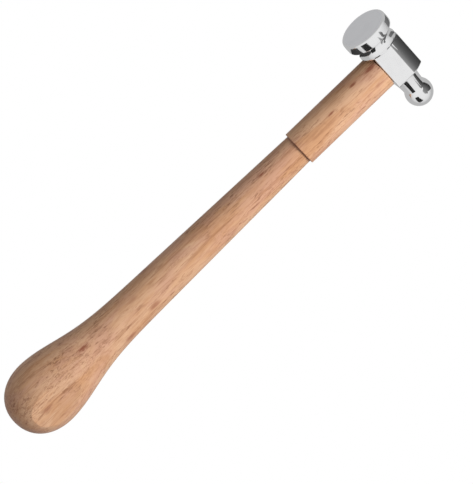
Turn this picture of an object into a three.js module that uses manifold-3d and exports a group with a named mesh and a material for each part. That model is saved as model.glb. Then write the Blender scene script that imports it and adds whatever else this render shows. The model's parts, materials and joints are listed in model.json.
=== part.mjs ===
// Ball peen hammer: a polished steel head on a turned beech handle, locked by two wedges.
// Millimetres. The hammer is modelled in tool axes and then laid down as it rests on a bench:
//   X runs along the handle from the butt to the head,
//   Y runs along the head from the ball to the striking face,
//   Z is square to both, out of the flat cheek that faces up.
import * as THREE from 'three';
import { mergeVertices } from 'three/addons/utils/BufferGeometryUtils.js';
import Module from 'manifold-3d';

const wasm = await Module();
wasm.setup();

// ---- Driving dimensions ----

// Fits
const seatGap = 0.3; // head to collar, tenon to eye, wedge to slot
const tenonRecess = 0.2; // tenon and wedges below the top of the head

// Handle
const collarEnd = 210.6; // butt to the top of the collar
const collarLength = 46.7;
const collarRadius = 8.0;
const shaftRadiusAtCollar = 6.8;
const shaftTaper = 0.0226; // radius gained per millimetre towards the butt
const bulbPlace = 18.4; // butt to the widest section of the bulb
const bulbRadius = 15.7;
const bulbSpread = 23.0; // how far the swell reaches along the shaft
const buttSquareness = 2.2; // 2 is an ellipse, more is a squarer end
const bulbFlatHeight = 13.65; // handle axis to each flat on the bulb
const edgeBreak = 0.35; // small chamfers on the turned wood

// Head: a turned bar whose middle block is milled flat, lengths from the handle's axis
const barRadius = 9.6; // round bar that the middle block is milled from
const topFlatDepth = 0.9; // milled off the bar at the top of the head
const bottomFlatDepth = 4.1; // milled off where the collar seats
const cheekDepth = 3.0; // milled off for each flat cheek
const facetRun = 4.4; // facet between each cheek and the top, along the handle
const facetDrop = 2.9; // the same facet, down from the cheek
const blockFront = 9.3;
const blockBack = 8.9;
const faceReach = 20.0; // handle axis to the striking face
const discRadius = 10.65;
const discThickness = 4.9;
const faceEdgeRadius = 0.9;
const discBackChamfer = 0.5;
const frontNeckRadius = 7.6; // waist behind the disc
const frontNeckStep = 0.8; // the same neck below the bar where it meets the block
const backNeckStep = 0.9; // neck below the cheeks where it leaves the block
const backNeckRadius = 4.85; // waist in front of the ball
const ballCentre = 20.0;
const ballRadius = 6.1;

// Eye and wedges
const eyeHalfLength = 6.1; // along the head, at the bottom
const eyeHalfWidth = 3.1; // across the head, at the bottom
const eyeFlare = 0.35; // gained each way at the top
const woodWedgeDepth = 11.0;
const woodWedgeTop = 2.2;
const woodWedgeTip = 0.8;
const steelWedgeDepth = 7.0;
const steelWedgeInset = 0.7; // each end of it short of the side of the eye
const steelWedgeTop = 1.5;
const steelWedgeTip = 0.6;

// Facets
const roundSegments = 48;
const eyeSegments = 32;
const capSteps = 9;
const swellSteps = 18;
const ballSteps = 14;
const bendSteps = 5;
const swellCrowding = 1.4; // above 1, rings lie closer together near the bulb
const cutOverrun = 1.0; // cutters run this far past the faces they open

// ---- Values that follow from them ----

const headTop = barRadius - topFlatDepth;
const headBottom = barRadius - bottomFlatDepth;
const cheekHeight = barRadius - cheekDepth; // head axis to each flat cheek
const frontNeckEndRadius = barRadius - frontNeckStep;
const backNeckRootRadius = cheekHeight - backNeckStep;
const steelWedgeWidth = 2 * (eyeHalfWidth - steelWedgeInset);
const headAxis = collarEnd + seatGap + headBottom; // butt to the head's axis
const headTopPlace = headAxis + headTop;
const tenonTop = headTopPlace - tenonRecess;
const shoulderPlace = collarEnd - collarLength;
const discBack = faceReach - discThickness;
const eyeFoot = headAxis - headBottom;
const reach = 4 * discRadius; // longer than any cut needs

// ---- Solids ----

function toSolid(geometry) {
  geometry.deleteAttribute('normal');
  geometry.deleteAttribute('uv');
  const merged = mergeVertices(geometry);
  const vertProperties = new Float32Array(merged.attributes.position.array);
  const triVerts = new Uint32Array(merged.index.array);
  return new wasm.Manifold(new wasm.Mesh({ numProp: 3, vertProperties, triVerts }));
}

function toGeometry(solid) {
  const { vertProperties, triVerts } = solid.getMesh();
  const geometry = new THREE.BufferGeometry();
  geometry.setAttribute('position', new THREE.BufferAttribute(vertProperties, 3));
  geometry.setIndex(new THREE.BufferAttribute(triVerts, 1));
  return geometry;
}

function box(from, to) {
  const geometry = new THREE.BoxGeometry(to[0] - from[0], to[1] - from[1], to[2] - from[2]);
  geometry.translate((from[0] + to[0]) / 2, (from[1] + to[1]) / 2, (from[2] + to[2]) / 2);
  return toSolid(geometry);
}

// Points on a smooth bend from one point to another, pulled towards a third.
function bend(from, pull, to) {
  return new THREE.QuadraticBezierCurve(from, pull, to).getPoints(bendSteps);
}

function point(radius, along) {
  return new THREE.Vector2(radius, along);
}

// ---- Handle ----

function shaftRadius(place) {
  return shaftRadiusAtCollar + shaftTaper * (shoulderPlace - place);
}

function handleRadius(place) {
  if (place < bulbPlace) {
    const share = (bulbPlace - place) / bulbPlace;
    return bulbRadius * (1 - share ** buttSquareness) ** (1 / buttSquareness);
  }
  const swell = bulbRadius - shaftRadius(bulbPlace);
  const away = (place - bulbPlace) / bulbSpread;
  return shaftRadius(place) + swell * Math.exp(-(away ** 2));
}

function handleProfile() {
  const points = [point(0, 0)];
  for (let step = 1; step <= capSteps; step += 1) {
    const place = bulbPlace * (1 - Math.cos((step / capSteps) * (Math.PI / 2)));
    points.push(point(handleRadius(place), place));
  }
  const run = shoulderPlace - bulbPlace;
  for (let step = 1; step <= swellSteps; step += 1) {
    const place = bulbPlace + run * (step / swellSteps) ** swellCrowding;
    points.push(point(handleRadius(place), place));
  }
  points.push(point(collarRadius - edgeBreak, shoulderPlace));
  points.push(point(collarRadius, shoulderPlace + edgeBreak));
  points.push(point(collarRadius, collarEnd - edgeBreak));
  points.push(point(collarRadius - edgeBreak, collarEnd));
  points.push(point(0, collarEnd));
  return points;
}

// A tapered oval plug along X that fills the eye, smaller by the given gap.
function eyePlug(from, to, gap) {
  const growth = (place) => (eyeFlare * (place - eyeFoot)) / (headTopPlace - eyeFoot);
  const geometry = new THREE.CylinderGeometry(1, 1, 1, eyeSegments);
  geometry.rotateZ(-Math.PI / 2);
  const position = geometry.attributes.position;
  for (let index = 0; index < position.count; index += 1) {
    const place = position.getX(index) > 0 ? to : from;
    const halfLength = eyeHalfLength + growth(place) - gap;
    const halfWidth = eyeHalfWidth + growth(place) - gap;
    position.setXYZ(index, place, position.getY(index) * halfLength, position.getZ(index) * halfWidth);
  }
  return toSolid(geometry);
}

// A tapered slab with its tip towards the butt: long is its extent across the taper.
function wedgeBlank(top, topThickness, tipThickness, depth, long) {
  const outline = new THREE.Shape();
  outline.moveTo(top - depth, -tipThickness / 2);
  outline.lineTo(top, -topThickness / 2);
  outline.lineTo(top, topThickness / 2);
  outline.lineTo(top - depth, tipThickness / 2);
  outline.closePath();
  const geometry = new THREE.ExtrudeGeometry(outline, { depth: long, bevelEnabled: false });
  geometry.translate(0, 0, -long / 2);
  return geometry;
}

// The wooden wedge lies along the head, so its taper is across the cheeks.
function woodWedgeBlank(gap) {
  const lift = gap > 0 ? reach : 0;
  const slope = (woodWedgeTop - woodWedgeTip) / woodWedgeDepth;
  const geometry = wedgeBlank(
    tenonTop + lift,
    woodWedgeTop + 2 * gap + slope * lift,
    woodWedgeTip + 2 * gap - slope * gap,
    woodWedgeDepth + gap + lift,
    reach,
  );
  geometry.rotateX(Math.PI / 2);
  return toSolid(geometry);
}

// The steel wedge is driven across the wooden one.
function steelWedgeBlank(gap) {
  const lift = gap > 0 ? reach : 0;
  const slope = (steelWedgeTop - steelWedgeTip) / steelWedgeDepth;
  const geometry = wedgeBlank(
    tenonTop + lift,
    steelWedgeTop + 2 * gap + slope * lift,
    steelWedgeTip + 2 * gap - slope * gap,
    steelWedgeDepth + gap + lift,
    steelWedgeWidth + 2 * gap,
  );
  return toSolid(geometry);
}

function makeHandle() {
  const lathe = new THREE.LatheGeometry(handleProfile(), roundSegments);
  lathe.rotateZ(-Math.PI / 2);
  let handle = toSolid(lathe);
  handle = handle.add(eyePlug(collarEnd - collarRadius, tenonTop, seatGap));
  handle = handle.subtract(box([-cutOverrun, -reach, bulbFlatHeight], [shoulderPlace, reach, reach]));
  handle = handle.subtract(box([-cutOverrun, -reach, -reach], [shoulderPlace, reach, -bulbFlatHeight]));
  handle = handle.subtract(woodWedgeBlank(seatGap));
  handle = handle.subtract(steelWedgeBlank(seatGap));
  return toGeometry(handle);
}

function makeWoodWedge() {
  const plug = eyePlug(eyeFoot, tenonTop, seatGap);
  const wedge = woodWedgeBlank(0).intersect(plug).subtract(steelWedgeBlank(seatGap));
  return toGeometry(wedge);
}

function makeSteelWedge() {
  return toGeometry(steelWedgeBlank(0));
}

// ---- Head ----

// The turned outline, from the ball to the striking face.
function headProfile() {
  const points = [];
  const ballStart = -Math.PI / 2;
  const ballEnd = Math.acos(backNeckRadius / ballRadius);
  for (let step = 0; step <= ballSteps; step += 1) {
    const angle = ballStart + ((ballEnd - ballStart) * step) / ballSteps;
    const radius = step === 0 ? 0 : ballRadius * Math.cos(angle);
    points.push(point(radius, -ballCentre + ballRadius * Math.sin(angle)));
  }
  const waist = points[points.length - 1];
  const root = point(backNeckRootRadius, -blockBack);
  points.push(...bend(waist, point(backNeckRadius, (waist.y + root.y) / 2), root).slice(1));
  points.push(point(barRadius, -blockBack));
  points.push(point(barRadius, blockFront));
  const neckFoot = point(frontNeckEndRadius, blockFront);
  const neckWaist = point(frontNeckRadius, (blockFront + discBack) / 2);
  const discUnderside = point(discRadius - 2 * discBackChamfer, discBack);
  points.push(...bend(neckFoot, point(frontNeckRadius, (blockFront + neckWaist.y) / 2), neckWaist));
  points.push(...bend(neckWaist, point(frontNeckRadius, discBack), discUnderside).slice(1));
  points.push(point(discRadius, discBack + discBackChamfer));
  const rimTop = point(discRadius, faceReach - faceEdgeRadius);
  const faceEdge = point(discRadius - faceEdgeRadius, faceReach);
  points.push(...bend(rimTop, point(discRadius, faceReach), faceEdge));
  points.push(point(0, faceReach));
  return points;
}

// Everything outside the facet that joins a cheek to the top of the head: side is 1 or -1.
function facetCutter(side) {
  const outline = new THREE.Shape();
  outline.moveTo(headTopPlace - 2 * facetRun, side * (cheekHeight + facetDrop));
  outline.lineTo(headTopPlace + facetRun, side * (cheekHeight - 2 * facetDrop));
  outline.lineTo(headTopPlace + facetRun, side * (cheekHeight + facetDrop));
  outline.closePath();
  const geometry = new THREE.ExtrudeGeometry(outline, { depth: blockFront + blockBack, bevelEnabled: false });
  geometry.rotateX(Math.PI / 2);
  geometry.translate(0, blockFront, 0);
  return toSolid(geometry);
}

function makeHead() {
  const lathe = new THREE.LatheGeometry(headProfile(), roundSegments);
  lathe.translate(headAxis, 0, 0);
  const back = -blockBack;
  const front = blockFront;
  let head = toSolid(lathe);
  head = head.subtract(box([0, back, cheekHeight], [headAxis + reach, front, reach]));
  head = head.subtract(box([0, back, -reach], [headAxis + reach, front, -cheekHeight]));
  head = head.subtract(box([headTopPlace, back, -reach], [headTopPlace + reach, front, reach]));
  head = head.subtract(facetCutter(1));
  head = head.subtract(facetCutter(-1));
  head = head.subtract(box([0, back, -reach], [eyeFoot, front, reach]));
  head = head.subtract(eyePlug(eyeFoot - cutOverrun, headTopPlace + cutOverrun, 0));
  return toGeometry(head);
}

// ---- Resting pose ----

// How far the points that pass the test reach in a direction.
function reachOf(geometry, direction, test) {
  const position = geometry.attributes.position;
  const vertex = new THREE.Vector3();
  let furthest = -Infinity;
  for (let index = 0; index < position.count; index += 1) {
    vertex.fromBufferAttribute(position, index);
    if (test(vertex)) {
      furthest = Math.max(furthest, vertex.dot(direction));
    }
  }
  return furthest;
}

// The hammer lies on the rim of its disc, on its ball and on its bulb. This finds the direction
// in tool axes in which all three reach equally far, which is straight down on a bench.
function findDown(headGeometry, handleGeometry) {
  const down = new THREE.Vector3(0, 0, -1);
  const settlingSteps = 60;
  for (let step = 0; step < settlingSteps; step += 1) {
    const disc = reachOf(headGeometry, down, (vertex) => vertex.y > 0);
    const ball = reachOf(headGeometry, down, (vertex) => vertex.y < 0);
    const bulb = reachOf(handleGeometry, down, (vertex) => vertex.x < shoulderPlace);
    down.y += (ball - disc) / (faceReach + ballCentre);
    down.x += (bulb - disc) / (headAxis - bulbPlace);
    down.z = -Math.sqrt(1 - down.x ** 2 - down.y ** 2);
  }
  return down;
}

// ---- Materials and assembly ----

const polishedSteel = new THREE.MeshStandardMaterial({ color: 0xc9cacc, roughness: 0.12, metalness: 1 });
const beech = new THREE.MeshStandardMaterial({ color: 0xcf9f78, roughness: 0.5, metalness: 0 });
const wedgeWood = new THREE.MeshStandardMaterial({ color: 0xb98a5f, roughness: 0.6, metalness: 0 });
const wedgeSteel = new THREE.MeshStandardMaterial({ color: 0x8f9092, roughness: 0.4, metalness: 1 });

function named(name, geometry, material) {
  const mesh = new THREE.Mesh(geometry, material);
  mesh.name = name;
  return mesh;
}

const headGeometry = makeHead();
const handleGeometry = makeHandle();

const tool = new THREE.Group();
tool.add(named('steel_head', headGeometry, polishedSteel));
tool.add(named('beech_handle', handleGeometry, beech));
tool.add(named('wooden_wedge', makeWoodWedge(), wedgeWood));
tool.add(named('steel_wedge', makeSteelWedge(), wedgeSteel));
tool.quaternion.setFromUnitVectors(findDown(headGeometry, handleGeometry), new THREE.Vector3(0, 0, -1));

// The origin is the middle of the underside of the resting hammer's box.
const hammer = new THREE.Group();
hammer.add(tool);
hammer.updateMatrixWorld(true);
const bounds = new THREE.Box3().setFromObject(hammer, true);
const middle = bounds.getCenter(new THREE.Vector3());
tool.position.set(-middle.x, -middle.y, -bounds.min.z);
hammer.updateMatrixWorld(true);

export default hammer;
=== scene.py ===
# Ball peen hammer laid on a pale bench: polished head, turned beech handle, two wedges.
# Pieces are modelled in the tool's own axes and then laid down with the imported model:
# X runs from the butt to the head, Y from the ball to the striking face, Z out of the upper cheek.
import json
import math
import bpy
from mathutils import Matrix, Vector


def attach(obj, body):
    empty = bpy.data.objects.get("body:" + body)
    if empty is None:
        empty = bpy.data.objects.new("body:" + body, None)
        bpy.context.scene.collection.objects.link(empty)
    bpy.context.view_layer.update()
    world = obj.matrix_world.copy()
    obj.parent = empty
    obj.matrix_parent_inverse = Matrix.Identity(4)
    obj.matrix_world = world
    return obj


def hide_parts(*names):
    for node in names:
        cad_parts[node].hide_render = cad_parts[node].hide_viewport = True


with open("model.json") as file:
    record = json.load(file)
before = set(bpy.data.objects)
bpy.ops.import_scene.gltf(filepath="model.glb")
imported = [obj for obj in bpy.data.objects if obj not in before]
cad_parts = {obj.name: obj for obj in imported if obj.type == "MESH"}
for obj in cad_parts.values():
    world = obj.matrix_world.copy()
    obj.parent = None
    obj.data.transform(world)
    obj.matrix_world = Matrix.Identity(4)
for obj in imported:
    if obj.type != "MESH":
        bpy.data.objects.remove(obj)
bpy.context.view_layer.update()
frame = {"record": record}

mm = 0.001

# Where the tool lies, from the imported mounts
mounts = {mount["name"]: mount for mount in frame["record"]["mounts"]}
faceAxis = Vector(mounts["striking_face"]["axis"]).normalized()
cheekAxis = Vector(mounts["upper_cheek"]["axis"]).normalized()
handleAxis = faceAxis.cross(cheekAxis)


def dropAll():
    # Back to object mode with nothing selected.
    if bpy.context.object and bpy.context.object.mode == "EDIT":
        bpy.ops.object.mode_set(mode="OBJECT")
    bpy.ops.object.select_all(action="DESELECT")


def takeOnly(obj):
    dropAll()
    bpy.context.view_layer.objects.active = obj
    obj.select_set(True)


def editFresh(obj):
    # Opens one object for editing with nothing selected.
    takeOnly(obj)
    bpy.ops.object.mode_set(mode="EDIT")
    bpy.ops.mesh.select_mode(type="VERT")
    bpy.ops.mesh.select_all(action="DESELECT")


def pick(obj, test, mode="VERT"):
    # Selects the vertices, edges or faces whose middle (and normal) passes the test.
    bpy.ops.object.mode_set(mode="OBJECT")
    mesh = obj.data
    for group in (mesh.vertices, mesh.edges, mesh.polygons):
        group.foreach_set("select", [False] * len(group))
    if mode == "VERT":
        for vertex in mesh.vertices:
            vertex.select = test(vertex.co)
    elif mode == "EDGE":
        for edge in mesh.edges:
            edge.select = all(test(mesh.vertices[index].co) for index in edge.vertices)
    else:
        for face in mesh.polygons:
            face.select = test(face.center, face.normal)
    bpy.ops.object.mode_set(mode="EDIT")
    bpy.ops.mesh.select_mode(type=mode)


def chain(name, points):
    # A row of edges through the points, grown one vertex at a time from a plane's corner.
    dropAll()
    bpy.ops.mesh.primitive_plane_add(size=mm, location=(0, 0, 0))
    obj = bpy.context.object
    obj.name = name
    obj.data.name = name
    editFresh(obj)
    pick(obj, lambda place: not (place.x < 0 and place.y < 0))
    bpy.ops.mesh.delete(type="VERT")
    bpy.ops.mesh.select_all(action="SELECT")
    corner = Vector((-mm / 2, -mm / 2, 0))
    bpy.ops.transform.translate(value=points[0] - corner)
    for before, after in zip(points, points[1:]):
        bpy.ops.mesh.extrude_region_move(TRANSFORM_OT_translate={"value": after - before})
    return obj


def turned(name, points, centre, axis, segments):
    # A closed solid of revolution from a profile that starts and ends on its axis.
    obj = chain(name, points)
    bpy.ops.mesh.select_all(action="SELECT")
    bpy.ops.mesh.spin(steps=segments, angle=2 * math.pi, center=centre, axis=axis)
    bpy.ops.mesh.select_all(action="SELECT")
    bpy.ops.mesh.remove_doubles(threshold=0.002 * mm)
    bpy.ops.mesh.normals_make_consistent(inside=False)
    return obj


def arc(centre, radius, start, end, steps):
    # Points (place along the axis, radius) round an arc, angles from the axis direction.
    angles = [start + (end - start) * step / steps for step in range(steps + 1)]
    return [(centre[0] + radius * math.cos(angle), centre[1] + radius * math.sin(angle)) for angle in angles]


def bend(start, pull, end, steps):
    # Points on a smooth bend from one point to another, pulled towards a third.
    points = []
    for step in range(steps + 1):
        share = step / steps
        weights = ((1 - share) ** 2, 2 * share * (1 - share), share ** 2)
        points.append(tuple(sum(w * p[i] for w, p in zip(weights, (start, pull, end))) for i in (0, 1)))
    return points


def cutWith(obj, cutter, operation="DIFFERENCE"):
    # Applies a Boolean and drops the cutter.
    takeOnly(obj)
    modifier = obj.modifiers.new("cut", "BOOLEAN")
    modifier.object = cutter
    modifier.operation = operation
    modifier.solver = "MANIFOLD"
    bpy.ops.object.modifier_apply(modifier="cut")
    bpy.data.objects.remove(cutter)


def shade(obj, angle=32):
    takeOnly(obj)
    bpy.ops.object.shade_smooth_by_angle(angle=math.radians(angle))


def weigh(obj):
    # Keeps the large flats flat beside their rounded edges.
    modifier = obj.modifiers.new("flats", "WEIGHTED_NORMAL")
    modifier.keep_sharp = True
    modifier.weight = 90
    bpy.ops.object.modifier_apply(modifier="flats")


def layDown(obj):
    # Carries a finished piece from the tool's axes to where the hammer rests.
    takeOnly(obj)
    obj.matrix_world = toolMatrix
    bpy.ops.object.transform_apply(location=True, rotation=True, scale=True)


eyeSizes = {
    "halfLength": 6.1 * mm,
    "halfWidth": 3.1 * mm,
    "flare": 0.35 * mm,
    "tenonRecess": 0.2 * mm,
    "fit": 0.12 * mm,  # gap left round the tenon and the wedges
    "woodDepth": 11.0 * mm,
    "woodTop": 2.2 * mm,
    "woodTip": 0.8 * mm,
    "steelDepth": 7.0 * mm,
    "steelInset": 0.7 * mm,
    "steelTop": 1.5 * mm,
    "steelTip": 0.6 * mm,
}


def ovalPlug(name, low, high, gap):
    # The tapered oval that the eye is cut with and that the tenon fills.
    def growth(place):
        return eyeSizes["flare"] * (place - eyeFoot) / (headTop - eyeFoot)

    dropAll()
    bpy.ops.mesh.primitive_cylinder_add(vertices=96, radius=1, depth=high - low, end_fill_type="NGON",
                                        location=((low + high) / 2, 0, 0), rotation=(0, math.pi / 2, 0))
    plug = bpy.context.object
    plug.name = name
    bpy.ops.object.transform_apply(location=True, rotation=True, scale=True)
    editFresh(plug)
    for place in (low, high):
        pick(plug, lambda co, at=place: abs(co.x - at) < 0.01 * mm)
        size = (1, eyeSizes["halfLength"] + growth(place) - gap, eyeSizes["halfWidth"] + growth(place) - gap)
        bpy.ops.transform.resize(value=size, center_override=(place, 0, 0))
    bpy.ops.object.mode_set(mode="OBJECT")
    return plug


def wedgeBar(name, top, depth, topThickness, tipThickness, length, across, lift):
    # A tapered bar with its tip towards the butt. across is 2 for a taper in Z, 1 for a taper in Y.
    slope = (topThickness - tipThickness) / depth
    high = top + lift
    dropAll()
    bpy.ops.mesh.primitive_cube_add(size=1, location=(0, 0, 0))
    bar = bpy.context.object
    bar.name = name
    editFresh(bar)
    for sign, place, thickness in ((-1, top - depth, tipThickness), (1, high, topThickness + slope * lift)):
        pick(bar, lambda co, at=sign: abs(co.x - at / 2) < 0.1)
        size = [1, length, length]
        size[across] = thickness
        bpy.ops.transform.resize(value=size, center_override=(sign / 2, 0, 0))
        bpy.ops.transform.translate(value=(place - sign / 2, 0, 0))
    bpy.ops.object.mode_set(mode="OBJECT")
    return bar


def woodWedgeBar(name, gap, lift):
    return wedgeBar(name, tenonTop, eyeSizes["woodDepth"] + gap, eyeSizes["woodTop"] + 2 * gap,
                    eyeSizes["woodTip"] + 2 * gap, 40 * mm, 2, lift)


def steelWedgeBar(name, gap, lift):
    width = 2 * (eyeSizes["halfWidth"] - eyeSizes["steelInset"] + gap)
    return wedgeBar(name, tenonTop, eyeSizes["steelDepth"] + gap, eyeSizes["steelTop"] + 2 * gap,
                    eyeSizes["steelTip"] + 2 * gap, width, 1, lift)


def makeWedges():
    woodWedge = woodWedgeBar("wedge_wood_oiled", 0, 0)
    cutWith(woodWedge, ovalPlug("plug", eyeFoot, tenonTop, eyeSizes["fit"]), "INTERSECT")
    cutWith(woodWedge, steelWedgeBar("slot", eyeSizes["fit"], 5 * mm))
    steelWedge = steelWedgeBar("wedge_steel_filed", 0, 0)
    for wedge, amount in ((woodWedge, 0.06 * mm), (steelWedge, 0.14 * mm)):
        editFresh(wedge)
        bpy.ops.mesh.select_all(action="SELECT")
        bpy.ops.mesh.remove_doubles(threshold=0.002 * mm)
        bpy.ops.mesh.normals_make_consistent(inside=False)
        bpy.ops.object.mode_set(mode="OBJECT")
        bpy.context.view_layer.objects.active = wedge
        modifier = wedge.modifiers.new("soft", "BEVEL")
        modifier.width = amount
        modifier.segments = 2
        modifier.limit_method = "ANGLE"
        modifier.angle_limit = math.radians(35)
        bpy.ops.object.modifier_apply(modifier="soft")
        shade(wedge)
        layDown(wedge)
    return woodWedge, steelWedge


handleSizes = {
    "collarEnd": 210.6 * mm,  # butt to the top of the collar
    "collarLength": 46.7 * mm,
    "collarRadius": 8.0 * mm,
    "shaftRadius": 6.8 * mm,  # just below the collar
    "shaftTaper": 0.0226,
    "bulbPlace": 18.4 * mm,
    "bulbRadius": 15.7 * mm,
    "bulbSpread": 23.0 * mm,
    "buttSquareness": 2.2,
    "flatHeight": 13.65 * mm,  # handle axis to each flat on the bulb
    "edgeBreak": 0.3 * mm,
    "rings": 88,
    "segments": 144,
}


def handleRadius(place):
    s = handleSizes
    straight = s["shaftRadius"] + s["shaftTaper"] * (s["collarEnd"] - s["collarLength"] - place)
    if place < s["bulbPlace"]:
        share = (s["bulbPlace"] - place) / s["bulbPlace"]
        return s["bulbRadius"] * (1 - share ** s["buttSquareness"]) ** (1 / s["buttSquareness"])
    atBulb = s["shaftRadius"] + s["shaftTaper"] * (s["collarEnd"] - s["collarLength"] - s["bulbPlace"])
    away = (place - s["bulbPlace"]) / s["bulbSpread"]
    return straight + (s["bulbRadius"] - atBulb) * math.exp(-(away ** 2))


def handleProfile():
    s = handleSizes
    shoulder = s["collarEnd"] - s["collarLength"]
    capRings = 26
    points = []
    for step in range(capRings + 1):
        place = s["bulbPlace"] * (1 - math.cos(step / capRings * math.pi / 2))
        points.append((place, handleRadius(place)))
    for step in range(1, s["rings"] + 1):
        place = s["bulbPlace"] + (shoulder - s["bulbPlace"]) * (step / s["rings"]) ** 1.3
        points.append((place, handleRadius(place)))
    cove = points.pop()  # a tight cove where the skew chisel left the shoulder
    points += bend((cove[0] - 0.25 * mm, cove[1]), cove, (cove[0], cove[1] + 0.25 * mm), 3)
    points += arc((shoulder + s["edgeBreak"], s["collarRadius"] - s["edgeBreak"]), s["edgeBreak"],
                  math.pi, math.pi / 2, 5)
    run = s["collarLength"] - 2 * s["edgeBreak"]
    for step in range(1, 12):
        points.append((shoulder + s["edgeBreak"] + run * step / 12, s["collarRadius"]))
    points += arc((s["collarEnd"] - s["edgeBreak"], s["collarRadius"] - s["edgeBreak"]), s["edgeBreak"],
                  math.pi / 2, 0, 5)
    points.append((s["collarEnd"], 0))
    return [Vector((place, 0, radius)) for place, radius in points]


def makeHandle():
    s = handleSizes
    handle = turned("handle_beech_turned", handleProfile(), (0, 0, 0), (1, 0, 0), s["segments"])
    cut = Vector((0, 0, s["flatHeight"]))
    for side in (1, -1):
        bpy.ops.mesh.select_all(action="SELECT")
        bpy.ops.mesh.bisect(plane_co=cut * side, plane_no=(0, 0, side), clear_outer=True, use_fill=True)
    bpy.ops.object.mode_set(mode="OBJECT")
    tenon = ovalPlug("tenon", s["collarEnd"] - 6 * mm, tenonTop, eyeSizes["fit"])
    cutWith(handle, tenon, "UNION")
    cutWith(handle, woodWedgeBar("kerf", eyeSizes["fit"], 5 * mm))
    cutWith(handle, steelWedgeBar("slot", eyeSizes["fit"], 5 * mm))
    shade(handle, 30)
    weigh(handle)
    layDown(handle)
    return handle


headSizes = {
    "top": 8.7 * mm,
    "bottom": 5.5 * mm,
    "cheek": 6.6 * mm,
    "facetRun": 4.4 * mm,  # facet between each cheek and the top
    "facetDrop": 2.9 * mm,
    "facetSoftness": 1.2 * mm,
    "facetCrown": 0.20 * mm,
    "footRound": 0.45 * mm,
    "front": 9.3 * mm,
    "back": 8.9 * mm,
    "seatGap": 0.3 * mm,
    "faceReach": 20.0 * mm,
    "discRadius": 10.65 * mm,
    "discThickness": 4.9 * mm,
    "discBarrel": 0.07 * mm,
    "faceRound": 1.0 * mm,
    "backRound": 0.55 * mm,
    "neckWaist": 7.6 * mm,
    "collarRadius": 8.8 * mm,
    "collarRound": 0.3 * mm,
    "backNeckRoot": 5.7 * mm,
    "backNeckWaist": 4.85 * mm,
    "ballCentre": 20.0 * mm,
    "ballRadius": 6.1 * mm,
    "edgeRound": 1.0 * mm,
    "segments": 192,
}


def headProfile():
    # From the ball to the striking face, as (place along the head, radius).
    s = headSizes
    points = []
    ballEnd = math.pi - math.asin(s["backNeckWaist"] / s["ballRadius"])
    points += arc((-s["ballCentre"], 0), s["ballRadius"], math.pi, math.pi - ballEnd, 44)
    points[0] = (points[0][0], 0)
    waist = points[-1]
    root = (-s["back"], s["backNeckRoot"])
    middle = (waist[0] + root[0]) / 2
    points += bend(waist, (middle, s["backNeckWaist"]), root, 14)[1:]
    # A core through the block, then the collar of the front neck
    points += [(-s["back"] + 1.5 * mm, s["backNeckRoot"]), (s["front"] - 1.5 * mm, s["backNeckRoot"])]
    wall = s["front"] - 0.02 * mm
    r = s["collarRound"]
    points.append((wall, s["backNeckRoot"]))
    points += arc((wall + r, s["collarRadius"] - r), r, math.pi, math.pi / 2, 4)
    discBack = s["faceReach"] - s["discThickness"]
    neckStart = wall + r
    points += bend((neckStart + 0.4 * mm, s["collarRadius"]), (neckStart + 1.4 * mm, s["neckWaist"]),
                   ((neckStart + discBack) / 2 + 0.3 * mm, s["neckWaist"]), 9)
    underside = s["discRadius"] - 2.1 * s["backRound"]
    points += bend(points[-1], (discBack - 0.1 * mm, s["neckWaist"]), (discBack, underside), 12)[1:]
    r = s["backRound"]
    rim = s["discRadius"] - s["discBarrel"]
    points += arc((discBack + r, rim - r), r, math.pi, math.pi / 2, 7)
    run = s["discThickness"] - s["backRound"] - s["faceRound"]
    for step in range(1, 12):
        share = step / 12
        swell = s["discBarrel"] * math.sin(math.pi * share)
        points.append((discBack + s["backRound"] + run * share, rim + swell))
    r = s["faceRound"]
    points += arc((s["faceReach"] - r, rim - r), r, math.pi / 2, 0, 9)
    for radius in (6.5 * mm, 3.5 * mm):
        points.append((s["faceReach"], radius))
    points.append((s["faceReach"], 0))
    return [Vector((headAxis, place, radius)) for place, radius in points]


def blockOutline():
    # The milled section, round from the middle of the top, as (towards the top, out of the cheek).
    s = headSizes
    facet = math.atan2(s["facetRun"], s["facetDrop"])  # which way the facet faces, from the cheek's side
    top = (s["top"], s["cheek"] - s["facetDrop"])
    cheekEdge = (s["top"] - s["facetRun"], s["cheek"])
    soft = s["facetSoftness"]
    crown = (s["facetCrown"] * math.cos(facet), s["facetCrown"] * math.sin(facet))
    intoFacet = (cheekEdge[0] + soft * math.sin(facet), cheekEdge[1] - soft * math.cos(facet))
    half = [(s["top"], 0.0)]
    half += bend((s["top"], top[1] - 0.25 * mm), top, (top[0] - 0.19 * mm, top[1] + 0.16 * mm), 4)
    middle = ((top[0] + cheekEdge[0]) / 2 + crown[0], (top[1] + cheekEdge[1]) / 2 + crown[1])
    half += bend(half[-1], middle, intoFacet, 7)[1:]
    # The soft edge leaves the facet in the facet's own direction
    share = (s["cheek"] - intoFacet[1]) / (intoFacet[1] - middle[1])
    pull = (intoFacet[0] + (intoFacet[0] - middle[0]) * share, s["cheek"])
    half += bend(intoFacet, pull, (pull[0] - soft, s["cheek"]), 9)[1:]
    half.append((0.0, s["cheek"]))
    corner = (-s["bottom"], s["cheek"])
    half += bend((corner[0] + s["footRound"], corner[1]), corner, (corner[0], corner[1] - s["footRound"]), 5)
    half.append((-s["bottom"], 0.0))
    return half + [(place, -out) for place, out in reversed(half[1:-1])]


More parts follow.
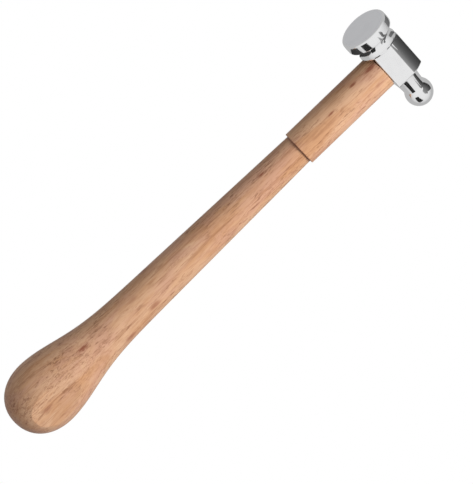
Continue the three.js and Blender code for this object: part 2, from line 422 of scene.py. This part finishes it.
def makeHead():
    s = headSizes
    head = turned("head_steel_polished", headProfile(), (headAxis, 0, 0), (0, 1, 0), s["segments"])
    outline = [Vector((headAxis + place, s["front"], out)) for place, out in blockOutline()]
    block = chain("block", outline + outline[:1])
    bpy.ops.mesh.select_all(action="SELECT")
    bpy.ops.mesh.remove_doubles(threshold=0.002 * mm)
    bpy.ops.mesh.edge_face_add()
    bpy.ops.mesh.extrude_region_move(TRANSFORM_OT_translate={"value": (0, -s["front"] - s["back"], 0)})
    # The end towards the ball is rolled over by the buffing wheel
    pick(block, lambda place: abs(place.y + s["back"]) < 0.005 * mm, "EDGE")
    bpy.ops.mesh.bevel(offset=s["edgeRound"], segments=6, profile=0.5, affect="EDGES")
    bpy.ops.mesh.select_all(action="SELECT")
    bpy.ops.mesh.normals_make_consistent(inside=False)
    cutWith(head, block, "UNION")
    cutWith(head, ovalPlug("eye", eyeFoot - 2 * mm, headTop + 2 * mm, 0))
    shade(head, 28)
    weigh(head)
    layDown(head)
    return head


# Where the head sits on the handle and how the tool lies
headAxis = handleSizes["collarEnd"] + headSizes["seatGap"] + headSizes["bottom"]
headTop = headAxis + headSizes["top"]
tenonTop = headTop - eyeSizes["tenonRecess"]
eyeFoot = headAxis - headSizes["bottom"]
faceMiddle = Vector(mounts["striking_face"]["pos_m"])
buttPlace = faceMiddle - faceAxis * headSizes["faceReach"] - handleAxis * headAxis
toolTurn = Matrix((handleAxis, faceAxis, cheekAxis)).transposed()
toolMatrix = Matrix.Translation(buttPlace) @ toolTurn.to_4x4()


class Socket:
    # One value in a node tree; arithmetic on it adds Math nodes.
    def __init__(self, nodes, output):
        self.nodes = nodes
        self.output = output

    def math(self, operation, first, second):
        return self.nodes.add("ShaderNodeMath", {"operation": operation}, {0: first, 1: second})

    def __add__(self, other):
        return self.math("ADD", self, other)

    def __radd__(self, other):
        return self.math("ADD", other, self)

    def __sub__(self, other):
        return self.math("SUBTRACT", self, other)

    def __rsub__(self, other):
        return self.math("SUBTRACT", other, self)

    def __mul__(self, other):
        return self.math("MULTIPLY", self, other)

    def __rmul__(self, other):
        return self.math("MULTIPLY", other, self)

    def __pow__(self, other):
        return self.math("POWER", self, other)

    def ramp(self, low, high):
        # 0 below low, 1 above high, smooth between.
        return self.nodes.add("ShaderNodeMapRange", {"interpolation_type": "SMOOTHSTEP", "clamp": True},
                              {"Value": self, "From Min": low, "From Max": high})


class Nodes:
    # A node tree being written: add() makes any node from its type, settings and inputs.
    def __init__(self, tree, shaderKind, outputKind):
        self.tree = tree
        self.tree.nodes.clear()
        shader = self.add(shaderKind, {}, {})
        self.shader = shader.output.node
        self.add(outputKind, {}, {"Surface": shader})

    def add(self, kind, settings, values, output=0):
        node = self.tree.nodes.new(kind)
        for key, value in settings.items():
            if key == "stops":
                ramp = node.color_ramp
                while len(ramp.elements) < len(value):
                    ramp.elements.new(0.5)
                for element, (position, colour) in zip(ramp.elements, value):
                    element.position = position
                    element.color = colour
            else:
                setattr(node, key, value)
        for key, value in values.items():
            self.feed(node.inputs[key], value)
        return Socket(self, node.outputs[output]) if node.outputs else None

    def feed(self, target, value):
        if isinstance(value, Socket):
            self.tree.links.new(value.output, target)
        else:
            target.default_value = value

    def set(self, **values):
        for key, value in values.items():
            self.feed(self.shader.inputs[key.replace("_", " ")], value)

    def split(self, vector):
        return [self.add("ShaderNodeSeparateXYZ", {}, {0: vector}, index) for index in range(3)]


class Finish(Nodes):
    # A material whose patterns lie in the tool's own axes.
    def __init__(self, name, shaderKind="ShaderNodeBsdfPrincipled"):
        self.material = bpy.data.materials.new(name)
        self.material.use_nodes = True
        super().__init__(self.material.node_tree, shaderKind, "ShaderNodeOutputMaterial")
        self.objectPlace = self.add("ShaderNodeTexCoord", {}, {}, "Object")
        self.place = self.add("ShaderNodeMapping", {"vector_type": "TEXTURE"}, {
            "Vector": self.objectPlace,
            "Location": tuple(buttPlace),
            "Rotation": tuple(toolTurn.to_euler()),
        })

    def stretched(self, scale, offset=(0, 0, 0)):
        # The tool's axes in millimetres, scaled along each axis.
        return self.add("ShaderNodeMapping", {"vector_type": "POINT"}, {
            "Vector": self.place, "Location": offset, "Scale": tuple(1000 * value for value in scale)})

    def noise(self, scale, detail=3.0, roughness=0.55, distortion=0.0, offset=(0, 0, 0)):
        return self.add("ShaderNodeTexNoise", {"noise_dimensions": "3D"}, {
            "Vector": self.stretched(scale, offset), "Scale": 1.0, "Detail": detail,
            "Roughness": roughness, "Distortion": distortion})

    def mix(self, share, first, second):
        # The two colours of a Mix node are its inputs 6 and 7, and its colour is output 2.
        colours = [value if isinstance(value, Socket) else tuple(value) + (1.0,) for value in (first, second)]
        return self.add("ShaderNodeMix", {"data_type": "RGBA"},
                        {"Factor": share, 6: colours[0], 7: colours[1]}, 2)

    def bump(self, height, distance, strength):
        return self.add("ShaderNodeBump", {}, {"Height": height, "Distance": distance, "Strength": strength})


beechLook = {
    "pale": (0.372, 0.218, 0.124),
    "warm": (0.308, 0.153, 0.071),
    "pink": (0.330, 0.178, 0.114),
    "streak": (0.160, 0.058, 0.022),
    "fleck": (0.105, 0.032, 0.012),
    # Dark stain colour, also used for the painted shade at the butt end and under the shoulder
    "stainAndShade": (0.150, 0.042, 0.020),
    "roughness": 0.40,
    # Stained spots: where they are in the tool's axes and their half width, all in millimetres
    "marks": (((207.0, 6.4, 4.5), 1.5), ((197.7, 6.6, 4.4), 0.9), ((183.4, 5.0, 6.2), 0.8),
              ((145.5, 5.9, 4.3), 1.0), ((44.0, 7.8, 8.7), 1.6), ((57.0, 3.0, 10.5), 1.0)),
}


def beechFinish(name, endGrain=0.0):
    # Beech: broad soft bands, fine long fibre, loose clusters of dark flecks and a satin clear coat.
    look = beechLook
    wood = Finish(name)
    along, across, up = wood.split(wood.place)
    bands = wood.noise((0.030, 0.13, 0.20), 3.0, 0.55, 0.8)
    mottle = wood.noise((0.045, 0.15, 0.15), 3.0, 0.6, 0.4, (31, 7, 3))
    fibre = wood.noise((0.12, 1.1, 1.1), 5.0, 0.70, 0.9, (5, 0, 9))
    colour = wood.mix(bands.ramp(0.36, 0.64) * 0.8, look["pale"], look["warm"])
    colour = wood.mix(mottle.ramp(0.42, 0.66) * 0.7, colour, look["pink"])
    colour = wood.mix(fibre.ramp(0.44, 0.72) * 0.46, colour, look["streak"])
    # Darker growth lines a few millimetres apart
    lines = wood.noise((0.020, 0.62, 0.75), 4.0, 0.6, 1.2, (7, 3, 5))
    colour = wood.mix(lines.ramp(0.54, 0.66) * 0.40, colour, look["streak"])
    # Flecks: short dark dashes that lie with the grain, in loose groups
    dashes = wood.noise((0.20, 1.25, 1.25), 4.0, 0.68, 1.1, (3, 8, 1))
    groups = wood.noise((0.030, 0.15, 0.15), 3.0, 0.6, 0.6, (11, 2, 6))
    fleck = dashes.ramp(0.50, 0.64) * groups.ramp(0.40, 0.58)
    colour = wood.mix(fleck * 0.62, colour, look["fleck"])
    # A few small reddish spots
    spots = wood.add("ShaderNodeTexVoronoi", {"feature": "F1"}, {
        "Vector": wood.stretched((0.045, 0.105, 0.105), (2, 5, 8)), "Scale": 1.0, "Randomness": 1.0})
    spot = (1 - spots.ramp(0.05, 0.20)) * fibre.ramp(0.25, 0.50)
    colour = wood.mix(spot * 0.60, colour, look["stainAndShade"])
    for place, size in look["marks"]:
        offsets = (along - place[0] * mm, across - place[1] * mm, up - place[2] * mm)
        squares = [offset * offset for offset in offsets]
        away = (squares[0] * 0.10 + squares[1] + squares[2]) ** 0.5 + (fibre - 0.5) * (2.2 * size * mm)
        colour = wood.mix((1 - away.ramp(0.30 * size * mm, 0.85 * size * mm)) * 0.85, colour, look["stainAndShade"])
    # Painted shade: darker towards the butt end, which turns away from the light, and in the corner under the
    # shoulder, where the collar throws its shadow on the shaft
    shoulder = handleSizes["collarEnd"] - handleSizes["collarLength"]
    butt = 1 - along.ramp(0.0, 0.012)
    nearShoulder = along.ramp(shoulder - 1.1 * mm, shoulder - 0.1 * mm)
    corner = nearShoulder * (1 - along.ramp(shoulder, shoulder + 0.5 * mm))
    colour = wood.mix(butt * 0.22 + corner * 0.55, colour, look["stainAndShade"])
    if endGrain:
        rings = wood.noise((0.01, 1.9, 3.1), 4.0, 0.6, 0.5, (4, 4, 4))
        colour = wood.mix(rings.ramp(0.35, 0.7) * endGrain, colour, look["fleck"])
    relief = fibre * 0.6 - fleck * 0.9
    normal = wood.bump(relief, 0.05 * mm, 0.35)
    wood.set(Base_Color=colour, Roughness=look["roughness"] + fibre * 0.14 + fleck * 0.1,
             Normal=normal, IOR=1.46, Specular_IOR_Level=0.3, Coat_Weight=0.12, Coat_Roughness=0.25)
    return wood.material


steelLook = {
    "colour": (0.96, 0.96, 0.965),
    "satinColour": (0.91, 0.915, 0.94),
    "polish": 0.085,
    "satin": 0.34,
}


def headFinish(name):
    # Mirror-polished steel with a fine satin ground striking face.
    look = steelLook
    steel = Finish(name)
    along, across, up = steel.split(steel.place)
    flatRadius = headSizes["discRadius"] - headSizes["discBarrel"] - 0.85 * headSizes["faceRound"]
    outX = (along - headAxis) * (along - headAxis)
    radius = (outX + up * up) ** 0.5
    onFace = across.ramp(headSizes["faceReach"] - 0.15 * mm, headSizes["faceReach"] - 0.02 * mm)
    satin = onFace * (1 - radius.ramp(flatRadius - 0.15 * mm, flatRadius + 0.15 * mm))
    scratches = steel.noise((2.4, 2.4, 0.35), 4.0, 0.7, 0.0, (3, 1, 4))
    cloud = steel.noise((0.20, 0.20, 0.20), 3.0, 0.55, 0.0, (9, 2, 7))
    swirl = steel.noise((0.9, 0.16, 0.9), 3.0, 0.6, 0.3, (1, 8, 2))
    roughness = look["polish"] + cloud.ramp(0.45, 0.8) * 0.05 + satin * (look["satin"] - look["polish"])
    roughness = roughness + satin * (scratches - 0.5) * 0.12
    colour = steel.mix(satin, look["colour"], look["satinColour"])
    colour = steel.mix(cloud.ramp(0.4, 0.75) * 0.10, colour, (0.62, 0.63, 0.65))
    height = swirl * 0.5 + satin * scratches * 0.6
    normal = steel.bump(height, 0.012 * mm, 0.25)
    steel.set(Base_Color=colour, Metallic=1.0, Roughness=roughness, Normal=normal)
    return steel.material


def wedgeSteelFinish(name):
    steel = Finish(name)
    filing = steel.noise((1.0, 9.0, 0.9), 3.0, 0.65, 0.0, (2, 2, 2))
    cloud = steel.noise((0.5, 0.5, 0.5), 2.0, 0.5)
    colour = steel.mix(cloud.ramp(0.4, 0.8) * 0.5, (0.46, 0.46, 0.47), (0.30, 0.28, 0.26))
    steel.set(Base_Color=colour, Metallic=1.0, Roughness=0.28 + filing * 0.22,
              Normal=steel.bump(filing, 0.03 * mm, 0.5))
    return steel.material


def give(obj, material):
    obj.data.materials.clear()
    obj.data.materials.append(material)


studio = {
    "floorSize": 6.0,
    "floorTone": 0.95,
    "cardSize": 5.0,
    "benchTone": 0.49,  # what the steel sees below it
    "horizonTone": 0.70,
    "airStrength": 0.82,
    "keyFrom": (0.60, -0.18, 0.78),
    "keyColour": (0.95, 1.0, 1.10),
    "keyPower": 17.0,
    "keySize": 0.5,
    "keyDistance": 0.9,
    # Cards that only the polished steel sees, in millimetres from the head's axis, in the tool's axes:
    # name, middle, first side, second side, and the tones where the second side starts and ends
    "cards": (
        ("flag_near", (18.7, -13.5, 12.5), (0, 34, 0), (0, 0, 21), 0.01, 0.19),
        ("flag_tall", (18.7, -23, 43), (0, 30, 0), (0, 0, 40), 0.19, 0.34),
        ("flag_strip", (18.7, 3.5, 28), (0, 11, 0), (0, 0, 10), 0.08, 0.20),
        ("flag_low", (18.7, 11.5, -1), (0, 6, 0), (0, 0, 15), 0.10, 0.18),
        ("flag_side", (-20.5, 9.5, 0.5), (24, 0, 0), (0, 0, 17), 0.03, 0.05),
        ("flag_far", (-127.6, -100, 117), (-69.9, 164.5, 64.2), (71, 0, 77.4), 0.02, 0.02),
    ),
}


def toRow(direction):
    return (toolTurn @ Vector(direction)).normalized()


def makeFloor():
    dropAll()
    bpy.ops.mesh.primitive_plane_add(size=studio["floorSize"], location=(0, 0, 0))
    floor = bpy.context.object
    floor.name = "studio_floor"
    paint = Finish("floor_pale")
    tone = studio["floorTone"]
    paint.set(Base_Color=(tone, tone, tone, 1), Roughness=0.9, Specular_IOR_Level=0.0)
    give(floor, paint.material)


def makeCard(name, middle, across, upwards, low, high, seenBy="glossy"):
    # A glowing card seen only in the polished steel, or only by the camera.
    dropAll()
    bpy.ops.mesh.primitive_plane_add(size=1, location=(0, 0, 0))
    card = bpy.context.object
    card.name = name
    sides = Matrix((across, upwards, across.cross(upwards).normalized())).transposed()
    card.matrix_world = Matrix.Translation(middle) @ sides.to_4x4()
    paint = Finish(name, "ShaderNodeEmission")
    tone = paint.split(paint.objectPlace)[1] * (high - low) + (high + low) / 2
    paint.set(Color=tone, Strength=1.0)
    give(card, paint.material)
    card.visible_camera = seenBy == "camera"
    card.visible_glossy = seenBy == "glossy"
    card.visible_diffuse = False
    card.visible_shadow = False
    card.visible_transmission = False


def makeKey(lit):
    # A softbox that lights the pieces in one collection only, so that it throws no shadow on the bench.
    away = toRow(studio["keyFrom"])
    data = bpy.data.lights.new("key_softbox", "AREA")
    data.shape = "SQUARE"
    data.size = studio["keySize"]
    data.energy = studio["keyPower"]
    data.color = studio["keyColour"]
    light = bpy.data.objects.new("key_softbox", data)
    bpy.context.scene.collection.objects.link(light)
    light.location = toolMatrix @ Vector((headAxis * 0.5, 0, 0)) + away * studio["keyDistance"]
    light.rotation_mode = "QUATERNION"
    light.rotation_quaternion = away.to_track_quat("Z", "Y")
    light.visible_glossy = False
    light.light_linking.receiver_collection = lit


def makeAir():
    # White overhead, a little greyer towards the horizon.
    world = bpy.data.worlds.new("studio_air")
    bpy.context.scene.world = world
    world.use_nodes = True
    air = Nodes(world.node_tree, "ShaderNodeBackground", "ShaderNodeOutputWorld")
    height = air.split(air.add("ShaderNodeTexCoord", {}, {}, "Generated"))[2]
    tones = ((0.0, studio["horizonTone"]), (0.45, 0.93), (0.8, 1.0))
    stops = [(position, (tone, tone, tone, 1)) for position, tone in tones]
    air.set(Color=air.add("ShaderNodeValToRGB", {"stops": stops}, {"Fac": height}),
            Strength=studio["airStrength"])


def makeStudio(pieces):
    makeFloor()
    makeAir()
    lit = bpy.data.collections.new("hammer")
    for piece in pieces:
        lit.objects.link(piece)
    makeKey(lit)
    bpy.context.scene.view_settings.view_transform = "Standard"
    # The camera sees a shadowless white bench and the polished steel a grey one
    size = studio["cardSize"]
    for name, lift, tone, seenBy in (("bench_white", 0.1 * mm, 1.0, "camera"),
                                     ("bench_grey", 0.2 * mm, studio["benchTone"], "glossy")):
        makeCard(name, Vector((0, 0, lift)), Vector((size, 0, 0)), Vector((0, size, 0)), tone, tone, seenBy)
    for name, middle, across, upwards, low, high in studio["cards"]:
        place = toolMatrix @ (Vector((headAxis, 0, 0)) + Vector(middle) * mm)
        makeCard(name, place, toolTurn @ Vector(across) * mm, toolTurn @ Vector(upwards) * mm, low, high)


cameraView = {
    "from": (0.052, 0.500, 0.864),  # from the hammer to the camera, in the tool's axes
    "upwards": (0.692, 0.606, -0.392),
    "aim": (118.6 * mm, -8.8 * mm, 4.6 * mm),  # middle of the view, in the tool's axes
    "distance": 828 * mm,
    "fieldOfView": 2 * math.atan(242 / 2000),
}


def makeCamera():
    data = bpy.data.cameras.new("camera")
    camera = bpy.data.objects.new("camera", data)
    bpy.context.scene.collection.objects.link(camera)
    towards = toRow(cameraView["from"])
    upwards = toRow(cameraView["upwards"])
    sideways = upwards.cross(towards).normalized()
    upwards = towards.cross(sideways)
    turn = Matrix((sideways, upwards, towards)).transposed()
    aim = toolMatrix @ Vector(cameraView["aim"])
    camera.matrix_world = Matrix.Translation(aim + towards * cameraView["distance"]) @ turn.to_4x4()
    data.angle = cameraView["fieldOfView"]
    data.clip_start = 0.01
    data.clip_end = 50
    bpy.context.scene.camera = camera
    return camera


print("Modelling the handle")
handle = makeHandle()
print("Modelling the head")
head = makeHead()
print("Modelling the wedges")
woodWedge, steelWedge = makeWedges()

print("Finishes")
give(handle, beechFinish("beech_satin"))
give(head, headFinish("steel_polished"))
give(woodWedge, beechFinish("wedge_end_grain", 0.5))
give(steelWedge, wedgeSteelFinish("steel_filed"))

for piece, node, slot in (
    (handle, "beech_handle", "beech"),
    (head, "steel_head", "polished_steel"),
    (woodWedge, "wooden_wedge", "wedge_wood"),
    (steelWedge, "steel_wedge", "wedge_steel"),
):
    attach(piece, "root")
    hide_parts(node)

print("Studio and camera")
makeStudio((handle, head, woodWedge, steelWedge))
makeCamera()
